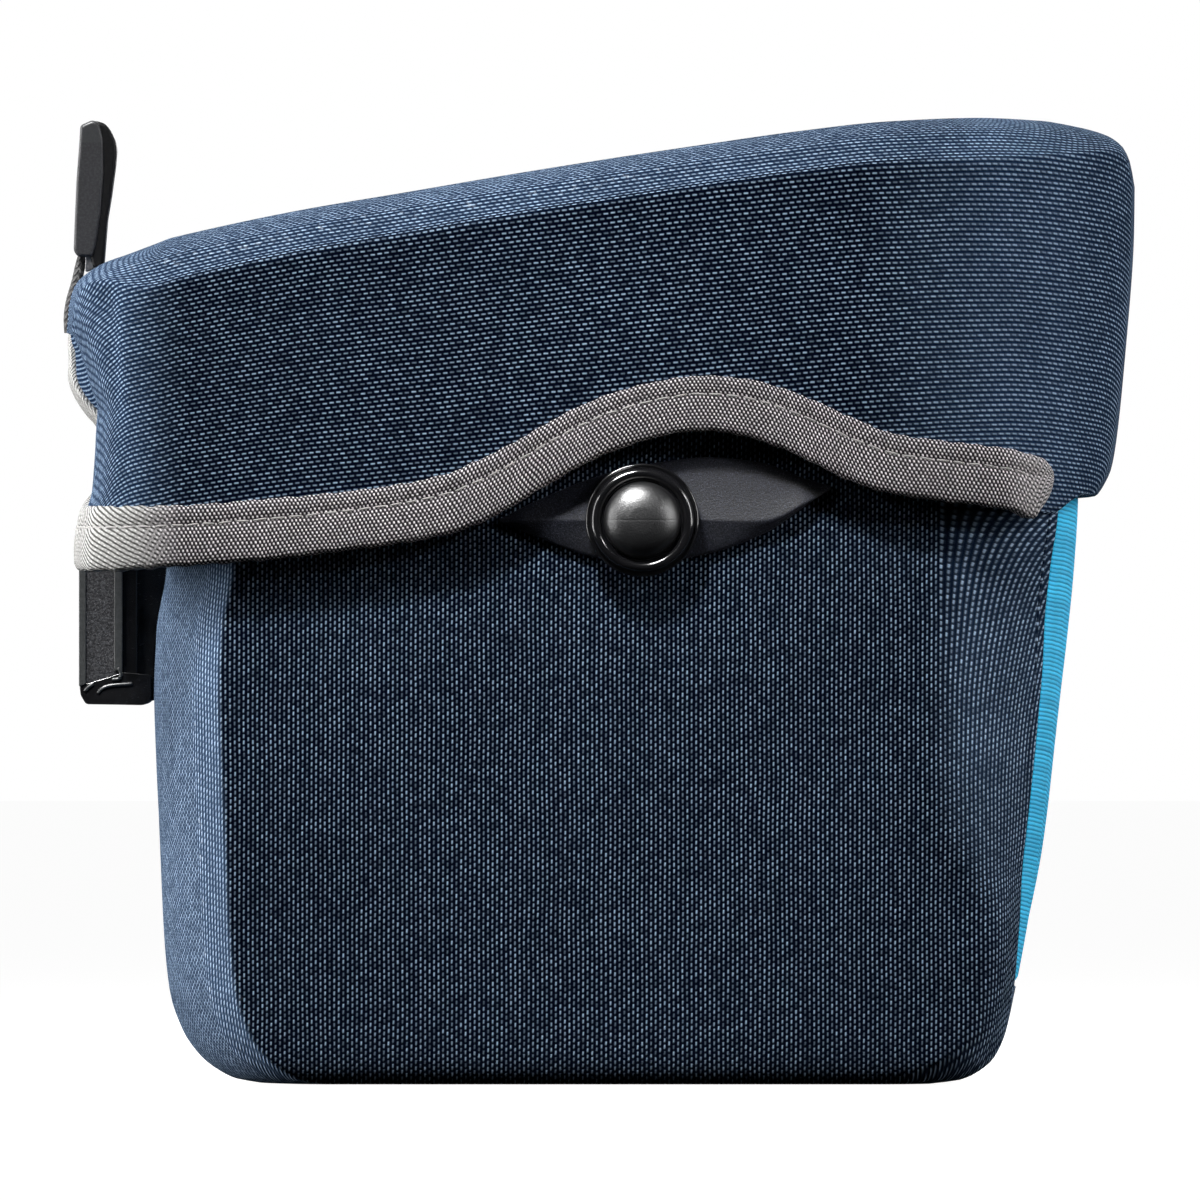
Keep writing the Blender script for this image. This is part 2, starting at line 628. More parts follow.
halves = [body_half(z) for z in row_z]
cols = len(halves[0][0])
P, UVs, E, W = [], [], [], []
for z, (pts, crease, fc, edge_x, side) in zip(row_z, halves):
    x, y = pts[:, 0], pts[:, 1]
    step = np.concatenate([[0], np.cumsum(np.hypot(np.diff(x), np.diff(y)))])
    at_crease, at_fc = step[53], step[113]
    s = np.where(step < at_crease, x[53] + step - at_crease, np.where(step > at_fc, x[113] + step - at_fc, x))
    facet = smoothstep(at_crease + 0.5, at_crease - 1.2, step)
    front_roll = smoothstep(at_fc - 3, at_fc + 7, step)
    low_roll = smoothstep(8, 1, z)
    near = (np.abs(y) > 90).astype(float)
    zz = body_height(z, x)
    wob = 0.22 * waviness(x, y, zz, 46) * smoothstep(1, 14, z)
    near = near * (1 - smoothstep(step[-1] - 9, step[-1] - 1.5, step))
    yy = y - near * (body_dent(x, zz)) - near * wob
    xx = x + (np.abs(y) <= 90) * wob * np.sign(x) * smoothstep(90, 78, np.abs(y)) * smoothstep(3, 30, np.abs(y))
    # cloth place: floats run up the side, the rows lean on the two facets
    lean = 0.45 * np.clip(at_crease - step, 0, 9) + 0.30 * np.clip(step - at_fc, 0, None)
    fan = np.clip((step - at_fc) / 30, 0, 1) * np.clip(z - 56, 0, None) ** 2 * 0.0058
    curl = -0.8 * np.clip(at_crease - step - 6, 0, 12) * bell(z, 100, 22) * 0.4
    U = zz + lean
    V = s - fan + curl
    P.append(np.stack([xx, yy, zz], 1))
    UVs.append(np.stack([U, V], 1))
    first = facet * smoothstep(at_crease - 10.5, at_crease - 8, step)
    E.append(np.clip(0.62 * facet + 0.33 * first + 0.45 * front_roll * (1 - 0.7 * bell(z, 22, 24)) + 0.04 * low_roll, 0, 1))
    ridge = bell(step, step[42], 0.8)
    W.append(ridge * 0.9 + 0.25 * bell(step, at_crease, 0.7))
P, UVs, E, W = map(np.array, (P, UVs, E, W))


def both_sides(points, uv, e, w):
    """Half from the middle of the back outward, and its mirror image, as one run from -Y to +Y."""
    m = points[:, ::-1].copy()
    m[..., 1] *= -1
    muv = uv[:, ::-1].copy()
    muv[..., 1] = muv[..., 1]
    return (
        np.concatenate([m[:, :-1], points], 1),
        (muv[:, :-1], uv),
        np.concatenate([e[:, ::-1][:, :-1], e], 1),
        np.concatenate([w[:, ::-1][:, :-1], w], 1),
    )


body = Builder()
body_points, (uv_left, uv_right), body_edge, body_worn = both_sides(P, UVs, E, W)
n_half = cols - 1
body.grid(body_points[:, : n_half + 1], np.concatenate([uv_left, uv_right[:, :1]], 1), body_edge[:, : n_half + 1])
body.grid(body_points[:, n_half:], uv_right, body_edge[:, n_half:])

# front of the body: a narrow border beside the panel, and the part below it
z_arr = np.array(row_z)
window_rows = [i for i, z in enumerate(row_z) if z >= PANEL_BOTTOM - 1e-6]
below_rows = [i for i, z in enumerate(row_z) if z <= PANEL_BOTTOM + 1e-6]


def front_face(z, y, lift=0.0):
    """Point of the front face at a height and place across."""
    pts, crease, fc, edge_x, side = body_half(float(z))
    bow = float(front_at(z)) + 0.45 - edge_x
    t = np.abs(y) / (side - 11)
    x = edge_x + bow * BOW_SHAPE(np.clip(t, 0, 1)) + lift
    zz = body_height(float(z), x)
    x = x + 0.25 * waviness(x, y, zz, 60) * smoothstep(1, 0.9, t)
    return x, zz


def window_half(z):
    d = PANEL_BOTTOM + PANEL_CORNER - z
    return PANEL_HALF if d <= 0 else PANEL_HALF - PANEL_CORNER + math.sqrt(max(0, PANEL_CORNER**2 - min(d, PANEL_CORNER) ** 2))


for sign in (1, -1):
    strip, strip_uv = [], []
    for i in window_rows:
        z = row_z[i]
        outer = halves[i][4] - 11
        inner = window_half(z)
        line, line_uv = [], []
        for k, (y, sink) in enumerate([(outer, 0), ((outer * 2 + inner) / 3, 0), (inner + 0.25, 0), (inner, -0.25), (inner - 0.2, -0.8), (inner - 0.2, -2.0)]):
            x, zz = front_face(z, sign * y, sink)
            line.append((float(x), sign * y, float(zz)))
            line_uv.append((float(UVs[i][-1][0]), float(UVs[i][-1][1]) + outer - y))
        line[0] = tuple(body_points[i][-1 if sign > 0 else 0])
        strip.append(line)
        strip_uv.append(line_uv)
    body.grid(strip, strip_uv, np.full((len(strip), 6), 0.3))
low, low_uv = [], []
for i in below_rows:
    z = row_z[i]
    outer = halves[i][4] - 11
    ys = np.linspace(outer, -outer, 61)
    line = []
    for y in ys:
        x, zz = front_face(z, y)
        line.append((float(x), y, float(zz)))
    line[0], line[-1] = tuple(body_points[i][-1]), tuple(body_points[i][0])
    low.append(line)
    low_uv.append([(p[2], 200 + outer - p[1]) for p in line])
body.grid(low, low_uv, np.full((len(low), 61), 0.45))
# the lower lip of the window turns in behind the panel
lip = []
for dz, dx in ((0, 0), (0.15, -0.4), (0.2, -2.0)):
    lip.append([(p[0] + dx, p[1], p[2] + dz) for p in low[-1] if abs(p[1]) < PANEL_HALF - PANEL_CORNER + 3])
body.grid(lip, None, np.full((3, len(lip[0])), 0.45))
bottom_ring = np.vstack([body_points[0], np.array(low[0])[1:-1]])
body.fan(bottom_ring, (0, 0, 0), None, np.zeros(len(bottom_ring) + 1))
body_ob = turned_out(body.mesh("bag_shell", [BODY_CLOTH]))
# wear follows the two creases of each back corner
co = np.array([v.co for v in body_ob.data.vertices]) / MM
flat_points = body_points.reshape(-1, 3)
flat_worn = body_worn.reshape(-1)
worn = np.zeros(len(co))
key = {tuple(np.round(p, 2)): w for p, w in zip(flat_points, flat_worn)}
for i, c in enumerate(co):
    worn[i] = key.get(tuple(np.round(c, 2)), 0)
add_worn(body_ob, worn)
wall(body_ob, 2.4)
piece(body_ob, "bag_fabric", "bag_body")

# ------------------------------------------------------------------ front panel
panel = Builder()
pts, uvs = [], []
panel_rows = [PANEL_BOTTOM + 0.35] + [row_z[i] for i in window_rows[1:]]
for z in panel_rows:
    half = window_half(z) - 0.45
    ys = np.concatenate([[half], np.linspace(half - 0.5, -half + 0.5, 71), [-half]])
    line, uv = [], []
    for k, y in enumerate(ys):
        sink = -0.7 if k in (0, len(ys) - 1) else 0
        sink = sink - (0.8 if z == panel_rows[0] else 0)
        x, zz = front_face(z, y, sink)
        line.append((float(x), y, float(zz)))
        uv.append((y, float(zz) + 0.02 * y))
    pts.append(line)
    uvs.append(uv)
panel.grid(pts, uvs)
panel_ob = panel.mesh("front_cloth", [PANEL_CLOTH])
total = sum(p.normal.x * p.area for p in panel_ob.data.polygons)
if total < 0:
    panel_ob.data.flip_normals()
wall(panel_ob, 2.2)
piece(panel_ob, "front_fabric", "front_panel")

# ------------------------------------------------------------------ lid
lid_back_x, lid_front_x = LID_BACK[0] - LID_BACK[2], LID_FRONT[0] + LID_FRONT[2]
top_at = through(LID_TOP)
shoulder_drop = through(LID_SHOULDER)
lean_at = through(LID_LEAN)
hem_low, hem_high = through([(h[0], h[1]) for h in HEM]), through([(h[0], h[2]) for h in HEM])


def corner_station(corner, degrees, sign):
    t = math.radians(degrees)
    ry = LID_HALF_WIDTH - corner[1]
    nx, ny = math.sin(t) / corner[2], math.cos(t) / ry
    l = math.hypot(nx, ny)
    return (corner[0] + sign * corner[2] * math.sin(t), corner[1] + ry * math.cos(t), sign * nx / l, ny / l)


stations = [(lid_back_x, y, -1.0, 0.0) for y in np.linspace(0, 98, 25)[:-1]]
stations += [corner_station(LID_BACK, d, -1) for d in np.linspace(90, 0, 31)]
stations += [(x, LID_HALF_WIDTH, 0.0, 1.0) for x in np.linspace(-88.8, 70, 66)[1:-1]]
stations += [corner_station(LID_FRONT, d, 1) for d in np.linspace(0, 90, 41)]
stations += [(lid_front_x, y, 1.0, 0.0) for y in np.linspace(93, 0, 23)[1:]]
ST = np.array(stations)
BACK_MIDDLE = 24 + 12  # station where the patch of the top turns from the back to the side
FRONT_TURN = len(stations) - 1 - BACK_MIDDLE


def bowed(x, y):
    return np.where(
        x < 0,
        x + 2.0 * (np.abs(y) / LID_BACK[1]) ** 2 * np.clip(x / lid_back_x, 0, 1) ** 2,
        x - 1.2 * (np.abs(y) / LID_FRONT[1]) ** 2 * np.clip(x / lid_front_x, 0, 1) ** 2,
    )


def hem_at(sx, sy, nx, ny):
    on_back = (sx <= -88) & (np.abs(ny) < 1e-6)
    share = np.minimum(np.abs(sy), 98) / 98
    low = 102.2 + 35.8 * (1 + np.cos(np.pi * share)) / 2
    low_side = hem_low(sx) + np.where(sx > 92.6, 3.2 * smoothstep(92.6, 101, sx), 0)
    return np.where(on_back, low, low_side), np.where(on_back, low + 12.8, hem_high(sx))


def soft_lid(x, y, z, nx, ny):
    """Small dents and folds of the lid's skirt, how far in."""
    d = 1.9 * bell(z, 154.5, 4.5) * bell(x, -100.8, 2.4)
    d = d + 0.9 * bell(z, 147, 8) * bell(x, -99.6, 1.5)
    d = d - 0.5 * bell(z, 140, 9) * bell(x, -96.5, 2.0)
    d = d + 0.25 * waviness(x, y, z, 58) * smoothstep(0.0, 1.0, np.abs(z - 112) / 25) * smoothstep(3, 36, np.abs(y))
    d = d - 0.35 * bell(z, 150, 26) * bell(x, 10, 70) * ny**2
    return d


PINCH = through([(96, 0.9), (102, 0.9), (106, 1.0), (110, 1.4), (114, 2.8), (118, 5.1), (122, 5.6), (127, 5.9), (130.5, 5.8), (134, 3.8), (138, 2.1), (142, 1.6), (146, 0.9), (150, 0.2), (153, 0), (200, 0)])


MIDDLE_OUT = through([(100, 0), (130, 0), (134, 0.4), (138, 1.0), (141, 1.5), (144, 1.0), (147, 0.6), (150, 0.2), (153, 0), (200, 0)])
CORNER_IN = through([(100, 0), (118, 0.2), (128, 0.4), (131, 0.6), (133, 1.4), (135.4, 2.0), (138, 1.6), (140, 1.0), (142.6, 0.6), (145, 0), (200, 0)])
SWELL = through([(100, 0), (146, 0), (148, 0.6), (150, 0.9), (152.2, 1.6), (160, 1.6), (200, 1.6)])


def back_moves(sy, nx, z):
    """How far in the soft back moves: in at the corners, out in the middle and above the pinch."""
    a = np.abs(sy)
    move = CORNER_IN(z) * smoothstep(40, 66, a) - MIDDLE_OUT(z) * (1 - smoothstep(36, 56, a)) - SWELL(z) * smoothstep(12, 28, a)
    return np.where(nx < 0, nx**2 * move, 0)


def skirt(s, z, off=0.0, soft=True):
    sx, sy, nx, ny = s
    lean = np.where(nx > 0, nx**2 * lean_at(z), 0)
    reach = 1 + 0.25 * smoothstep(28, 42, np.abs(sy)) - 0.78 * smoothstep(62, 92, np.abs(sy))
    pinch = np.where(nx < 0, nx**2 * PINCH(z) * reach, 0)
    # the back corner grows squarer towards the free edge
    boxy = np.where((nx < 0) & (ny > 1e-6), (LID_HALF_WIDTH - np.abs(sy)) * 0.62 * smoothstep(158, 122, z) * smoothstep(0.0, 0.45, ny), 0)
    dent = soft_lid(sx, sy, z, nx, ny) if soft else 0
    inset = lean + pinch + dent + back_moves(sy, nx, z) - off
    x, y = sx - inset * nx, sy - inset * ny
    y = y + boxy * np.sign(sy)
    return np.stack([bowed(x, y), y, z * np.ones_like(x)], -1)


def lid_shoulder(s, inset):
    sx, sy, nx, ny = s
    behind, ahead = np.clip((LID_BACK[0] - sx) / LID_BACK[2], 0, 1), np.clip((sx - LID_FRONT[0]) / LID_FRONT[2], 0, 1)
    corner_y = np.where(sx < 0, LID_BACK[1], LID_FRONT[1])
    x = sx + inset * (0.94 * behind - ahead)
    y = sy - inset * np.clip((sy - corner_y) / (LID_HALF_WIDTH - corner_y), 0, 1)
    z = top_at(x) - shoulder_drop(inset) * ny**2
    z = z - 0.35 * ny**2 * bell(inset, 2.0, 1.2) * smoothstep(70, 40, x)
    z = z + 0.3 * bell(inset, 5.2, 1.3) * ny**2 * smoothstep(70, 30, x)
    x = x - np.where(nx < 0, 1.6 * nx**2, 0) * (1 - smoothstep(0, 13, inset)) * smoothstep(12, 28, np.abs(sy))
    return np.stack([bowed(x, y), y, z], -1)


S = ST.T
low_edge, high_edge = hem_at(*S)
free = low_edge + 1.3
rings, ring_edge, ring_worn = [], [], []
crease_point = lid_shoulder(S, 0.0)
crease_z = np.maximum(crease_point[:, 2], high_edge + 0.5)
corner_roll = np.clip(S[2] ** 2 * 1.3, 0, 1)
back_roll = smoothstep(-83, -97, S[0])
front_roll = smoothstep(50, 84, S[0]) * 0.85 - smoothstep(92, 102, S[0]) * 0.3
side_edge = np.clip(back_roll * 0.78 + front_roll, 0, 1)
for k, t in enumerate(np.linspace(0, 1, 53)[:-1]):
    z = free + (crease_z - free) * t
    rings.append(skirt(S, z))
    near_crease = smoothstep(0.97, 1.0, t)
    ring_edge.append(np.clip(side_edge + 0.1 * near_crease, 0, 1))
    ring_worn.append(np.zeros(len(ST)))
for inset in (0, 0.5, 1.0, 1.6, 2.3, 3.1, 4.0, 5.0, 6.0, 7.2, 8.6, 10.2, 12, 14.2, 16.5):
    p = lid_shoulder(S, inset)
    p[:, 2] = np.maximum(p[:, 2], high_edge + 0.5)
    if inset == 0:
        dent = soft_lid(S[0], S[1], p[:, 2], S[2], S[3]) * 0.5
        p[:, 0] -= dent * S[2]
        p[:, 1] -= dent * S[3]
    rings.append(p)
    ring_edge.append(np.maximum(side_edge, 0.15 + 0.45 * smoothstep(0, 2.2, inset)))
    ring_worn.append(np.clip(bell(inset, 4.6, 1.0), 0, 1) * S[3] ** 2 * smoothstep(60, 10, S[0]))
R = np.array(rings)  # rings x stations x 3
# place on the flat sheet: down from the inner ring along each station's direction
gap = np.linalg.norm(np.diff(R, axis=0), axis=2)
down = np.concatenate([np.cumsum(gap[::-1], 0)[::-1], np.zeros((1, len(ST)))], 0)
inner = R[-1]
level_run = np.concatenate([[0], np.cumsum(np.hypot(np.diff(S[0]), np.diff(S[1])))])
first_side = int(np.argmax(S[3] > 0.9999))
last_side = len(ST) - 1 - int(np.argmax(S[3][::-1] > 0.9999))
behind = np.clip(level_run[first_side] - level_run, 0, None)
ahead = np.clip(level_run - level_run[last_side], 0, None)
sheet_u = np.where(behind > 0, S[0][first_side] - behind, np.where(ahead > 0, S[0][last_side] + ahead, S[0])) * np.ones_like(down)
# the rows droop round the corners and run level again towards the middle of the back and front
run = np.linspace(0, 220, 881)
back_slope = np.where(run < 30, 0.042 * run, 1.0 - smoothstep(36, 84, run))
front_slope = 0.0036 * run * (1 - smoothstep(58, 104, run))


def summed(slope):
    return np.concatenate([[0], np.cumsum((slope[1:] + slope[:-1]) / 2 * np.diff(run))])


droop = np.interp(behind, run, summed(back_slope)) + np.interp(ahead, run, summed(front_slope))
top_of = top_at(np.clip(S[0], -86, 84))
flatten = np.clip((top_of - R[..., 2]) / 60, 0, 1) * 0.5 * ((177 + 0.075 * np.clip(S[0], -86, 84)) - top_of)
sheet_v = 104.6 + down - droop + flatten * smoothstep(0, 12, down)
EDGE = np.array(ring_edge)
WORN = np.array(ring_worn)


def loop_of(a, sign_y=False):
    """Half run and its mirror as a closed loop."""
    m = a[:, 1:-1][:, ::-1].copy()
    if sign_y:
        m[..., 1] *= -1
    return np.concatenate([a, m], 1)


full = loop_of(R, True)
full_uv = np.stack([loop_of(sheet_u), loop_of(sheet_v)], -1)
lid = Builder()
lid.grid(full, full_uv, loop_of(EDGE), close=True)
last = full[-1]
spine = np.stack([np.clip(last[:, 0], -30, 30), np.zeros(len(last)), np.zeros(len(last))], 1)
top_rows, top_edge = [last], [np.full(len(last), 0.6)]
for share in np.linspace(0, 1, 25)[1:]:
    p = spine + (last - spine) * (1 - share) * np.array([1, 1, 0])
    depth = np.minimum(1, np.minimum((105 - np.abs(p[:, 1])) / 26, np.minimum((p[:, 0] + 89) / 26, (91 - p[:, 0]) / 26)))
    soft = smoothstep(0, 1, depth)
    p[:, 2] = top_at(p[:, 0]) - 0.15 - 0.55 * soft + 0.45 * waviness(p[:, 0], p[:, 1], 0 * p[:, 0], 90) * soft
    top_rows.append(p)
    top_edge.append(0.2 + 0.4 * (1 - smoothstep(0, 0.7, depth)))
top_rows = np.array(top_rows)
lid.grid(top_rows, top_rows[..., :2], np.array(top_edge), close=True)
# the front edge turns in under the lid
lip = [skirt(S, free, off) + np.array([0, 0, dz]) for off, dz in ((0, 0), (-0.5, -0.35), (-1.4, -0.5), (-3.4, -0.2))]
lip = np.array([np.where((S[2] > 0.3)[:, None], row, lip[0]) for row in lip])
keep = S[2] > 0.25
lid.grid(lip[:, keep], None, np.full((4, int(keep.sum())), 0.6))
lid.grid(lip[:, keep] * np.array([1, -1, 1]), None, np.full((4, int(keep.sum())), 0.6))
lid_ob = turned_out(lid.mesh("lid_shell", [LID_CLOTH]))
loop_worn = loop_of(WORN).reshape(-1)
key = {tuple(np.round(p, 2)): w for p, w in zip(full.reshape(-1, 3), loop_worn)}
add_worn(lid_ob, [key.get(tuple(np.round(c, 2)), 0) for c in np.array([q.co for q in lid_ob.data.vertices]) / MM])
wall(lid_ob, 2.1)
piece(lid_ob, "lid_fabric", "lid")

# ------------------------------------------------------------------ binding tape
END_X = [86.0, 88.2, 89.4, 90.4, 91.2, 91.8, 92.2, 92.4]
END_LOW = [112.75, 112.6, 113.9, 115.3, 116.7, 118.1, 119.6, 120.5]
END_HIGH = [125.6, 125.1, 124.6, 124.0, 123.3, 122.5, 121.5, 120.9]
end_low, end_high = through(list(zip(END_X, END_LOW))), through(list(zip(END_X, END_HIGH)))
tape_st = [s for s in stations if s[0] <= 86.0 - 0.4]
tape_st = [s for i, s in enumerate(tape_st)]
fine = []
for a, b in zip(tape_st, tape_st[1:]):
    fine += [a, tuple((np.array(a) + np.array(b)) / 2)]
fine.append(tape_st[-1])
for x in np.concatenate([np.linspace(85.8, 91.2, 14), np.linspace(91.35, 92.4, 10)]):
    fine.append(corner_station(LID_FRONT, math.degrees(math.asin((x - LID_FRONT[0]) / LID_FRONT[2])), 1))
T = np.array(fine).T
norm = np.hypot(T[2], T[3])
T[2] /= norm
T[3] /= norm
t_low, t_high = hem_at(*T)
at_end = T[0] > 86
t_low = np.where(at_end, end_low(T[0]), t_low)
t_high = np.where(at_end, end_high(T[0]), t_high)
fade = np.clip((t_high - t_low) / 12, 0.02, 1)
# section from the outer leaf's upper edge, round the fold, to the inner leaf's upper edge: off, share of the width from the top, drop
SECTION = [
    (-0.15, 0.000, 0.0), (0.55, 0.000, 0.0), (0.95, 0.012, 0.0), (1.22, 0.04, 0.0), (1.36, 0.10, 0.0), (1.42, 0.18, 0.0), (1.34, 0.255, 0.0),
    (1.16, 0.30, 0.0), (1.12, 0.325, 0.0), (1.18, 0.35, 0.0), (1.38, 0.40, 0.0), (1.5, 0.5, 0.0), (1.56, 0.62, 0.0), (1.54, 0.74, 0.0), (1.5, 0.84, 0.0),
    (1.38, 0.92, 0.0), (1.1, 0.965, 0.0), (0.6, 0.99, 0.0), (-0.2, 1.0, 0.0), (-1.6, 1.0, 0.0), (-2.8, 0.985, 0.0), (-3.4, 0.94, 0.0), (-3.6, 0.86, 0.0),
    (-3.65, 0.5, 0.0), (-3.6, 0.1, 0.0), (-3.3, 0.01, 0.0), (-2.6, 0.0, 0.0), (-2.0, 0.0, 0.0),
]
run = np.concatenate([[0], np.cumsum(np.linalg.norm(np.diff(skirt(T, (t_low + t_high) / 2, 1.0), axis=0), axis=1))])
tape_rows, tape_uv, tape_edge = [], [], []
across = 0
previous = None
ripple = 0.10 * np.sin(run * 2.3) * np.sin(run * 0.31 + 1)
for k, (off, share, drop) in enumerate(SECTION):
    z = t_high + (t_low - t_high) * share
    grow = np.where(off > -0.1, off * fade**0.6, off * fade**0.35)
    pucker = ripple * (bell(share, 0.32, 0.18) if off > 0.3 else 0)
    p = skirt(T, z, grow + pucker)
    p[:, 2] += (0.12 * np.sin(run * 1.7) + 0.1 * np.sin(run * 0.83 + 2)) * (bell(share, 0, 0.05) + bell(share, 1, 0.08)) * fade
    tape_rows.append(p)
    if previous is not None:
        across += math.hypot(off - previous[0], (share - previous[1]) * 12)
    previous = (off, share)
    tape_uv.append(np.stack([run, np.full_like(run, across)], -1))
    bright = np.clip(smoothstep(-84, -96, T[0]) + 0.45 * smoothstep(80, 90, T[0]), 0, 1)
    tape_edge.append(bright)
tape_rows, tape_uv, tape_edge = map(np.array, (tape_rows, tape_uv, tape_edge))
tape = Builder()
tape.grid(tape_rows, tape_uv, tape_edge)
mirror_rows = tape_rows * np.array([1, -1, 1])
mirror_uv = tape_uv * np.array([-1, 1])
tape.grid(mirror_rows, mirror_uv, tape_edge, flip=True)
# a closed end cap at each front end
for rows_, flip in ((tape_rows, False), (mirror_rows, True)):
    ring = rows_[:, -1]
    tape.fan(ring, ring.mean(0), np.tile([0.0, 0.0], (len(ring) + 1, 1)), np.full(len(ring) + 1, 0.45), flip=flip)


def capsule(builder, a, b, out, radius, uv_at=0.0):
    """One stitch from a to b that dips at both ends."""
    a, b, out = (np.array(p, float) for p in (a, b, out))
    axis = (b - a) / np.linalg.norm(b - a)
    side = np.cross(axis, out)
    side /= np.linalg.norm(side)
    up = np.cross(side, axis)
    rows_ = []
    for t, r, sink in ((0, 0.25, -0.55), (0.07, 0.8, -0.12), (0.25, 1.0, 0.12), (0.5, 1.0, 0.2), (0.75, 1.0, 0.12), (0.93, 0.8, -0.12), (1, 0.25, -0.55)):
        centre = a + (b - a) * t + up * sink * radius
        rows_.append([centre + radius * r * (1.15 * math.cos(q) * side + 0.85 * math.sin(q) * up) for q in np.linspace(0, TAU, 8, endpoint=False)])
    builder.grid(rows_, np.zeros((7, 8, 2)), close=True)


stitches = Builder()
stitch_z = t_high + (t_low - t_high) * 0.325
stitch_line = skirt(T, stitch_z, 1.20)
stitch_out = np.stack([T[2], T[3], np.zeros_like(T[2])], -1)
at_run = lambda r: np.array([np.interp(r, run, stitch_line[:, k]) for k in range(3)])
out_run = lambda r: np.array([np.interp(r, run, stitch_out[:, k]) for k in range(3)])
r = 1.0
stop = run[np.argmin(np.abs(T[0] - 84.5))]
while r < stop:
    length = 2.55 + 0.25 * math.sin(r * 1.7)
    lift = 0.10 * math.sin(r * 2.9)
    for sign in (1, -1):
        flipy = np.array([1, sign, 1])
        a, b, o = at_run(r) * flipy, at_run(r + length) * flipy, out_run(r + length / 2) * flipy
        capsule(stitches, a + np.array([0, 0, lift]), b - np.array([0, 0, lift]), o, 0.17)
    r += length + 0.75
tape_ob = tape.mesh("edge_tape", [TAPE_CLOTH])
piece(tape_ob, "binding_tape", "lid_binding")
stitch_ob = stitches.mesh("edge_stitches", [THREAD], merge=0)
piece(stitch_ob, "binding_tape")

# ------------------------------------------------------------------ strap plates and studs
plate_above, plate_ridge, plate_below = (through([(q[0], q[k]) for q in PLATE_ROWS]) for k in (1, 2, 3))
DIR = (0.995, 0.0995)
for sign, side_name in ((-1, "right"), (1, "left")):
    b = Builder()
    rows_ = []
    for along in np.concatenate([np.linspace(0, 3, 7)[:-1], np.linspace(3, 63, 49), np.linspace(63, 66.3, 8)[1:]]):
        above, ridge, below = float(plate_above(along)), float(plate_ridge(along)), float(plate_below(along))
        thick = smoothstep(0, 5, along) * smoothstep(66.3, 60, along)
        line = []
        for down_at, out_at in (
            (-above, 0), (-above, 1.35), (-above + 0.25, 1.8), (-above + 0.7, 2.0), (-above * 0.5 + ridge * 0.5, 2.75), (ridge - 0.45, 3.22),
            (ridge - 0.12, 3.3), (ridge + 0.15, 3.26), (ridge + 0.5, 3.12), (ridge * 0.5 + below * 0.5, 2.55), (below - 0.7, 1.75), (below - 0.25, 1.5), (below, 1.1), (below, 0),
        ):
            out_at = out_at * (0.35 + 0.65 * thick)
            line.append((-19.8 + DIR[0] * along + DIR[1] * down_at, sign * (113.8 + out_at), 112.2 + DIR[1] * along - DIR[0] * down_at))
        rows_.append(line)
    b.grid(rows_)
    for ring in (rows_[0], rows_[-1]):
        b.fan(ring, np.mean(ring, 0))
    piece(b.mesh("plate_" + side_name, [PLATE_PLASTIC]), "plate_plastic", "strap_plate_" + side_name)

PROFILE = [
    (0.0, 7.5), (1.0, 7.48), (2.6, 7.36), (4.0, 7.0), (5.2, 6.5), (6.2, 5.85), (6.95, 5.1), (7.4, 4.3), (7.58, 3.6), (7.62, 3.25),
    (7.8, 3.05), (8.05, 3.1), (8.2, 3.4), (8.4, 3.85), (8.75, 4.2), (9.25, 4.38), (9.75, 4.25), (10.1, 3.92), (10.3, 3.5), (10.4, 3.1),
    (10.52, 2.75), (10.62, 2.72), (10.75, 2.95), (10.95, 3.05), (11.15, 2.95), (11.28, 2.7), (11.3, 2.3), (11.3, 0.9), (11.15, 0.35), (10.7, 0.0), (6.0, 0.0),
]
prof = rounded(PROFILE, [0] + [0.5] * (len(PROFILE) - 2) + [0], [3] * (len(PROFILE) - 1), 3)
for sign, side_name in ((-1, "right"), (1, "left")):
    b = Builder()
    angles = np.linspace(0, TAU, 97)[:-1]
    split = next(i for i, q in enumerate(prof) if q[0] > 7.66)
    make = lambda part: [[(KNOB[0] + q[0] * math.cos(t), sign * (KNOB[1] + q[1]), KNOB[2] + q[0] * math.sin(t)) for t in angles] for q in part]
    b.grid(make(prof[: split + 1]), close=True, flip=sign < 0)
    b.grid(make(prof[split:]), close=True, flip=sign < 0, material=1)
    piece(b.mesh("stud_" + side_name, [DOME_PLASTIC, RIM_PLASTIC]), "stud_plastic", "strap_knob_" + side_name)


# ------------------------------------------------------------------ moulded parts at the back
def prism(name, outline, half, material, bevel=0.6, corner=0.6, segments=4):
    """A side outline pushed across the bag, with rounded corners and rims."""
    pts = rounded(list(outline) + [outline[0], outline[1]], [0] + [corner] * len(outline) + [0], [2] * (len(outline) + 1), 4)
    # start and end half way along the first side, so that every corner is rounded once
    start, stop = 1, len(pts) - 2
    loop = [tuple(p) for p in pts[start:stop]]
    clean = []
    for p in loop:
        if all(math.hypot(p[0] - q[0], p[1] - q[1]) > 0.02 for q in clean):
            clean.append(p)
    n = len(clean)
    v = [(p[0] * MM, sgn * half * MM, p[1] * MM) for sgn in (-1, 1) for p in clean]
    f = [tuple(range(n)), tuple(range(2 * n - 1, n - 1, -1))] + [(i, i + n, (i + 1) % n + n, (i + 1) % n) for i in range(n)]
    me = bpy.data.meshes.new(name)
    me.from_pydata(v, [], f)
    me.materials.append(material)
    bm = bmesh.new()
    bm.from_mesh(me)
    bmesh.ops.recalc_face_normals(bm, faces=bm.faces)
    bm.to_mesh(me)
    bm.free()
    me.polygons.foreach_set("use_smooth", [True] * len(me.polygons))
    ob = bpy.data.objects.new(name, me)
    bpy.context.scene.collection.objects.link(ob)
    soften(ob, bevel, segments, 50)
    w = ob.modifiers.new("even", "WEIGHTED_NORMAL")
    w.weight = 90
    return ob


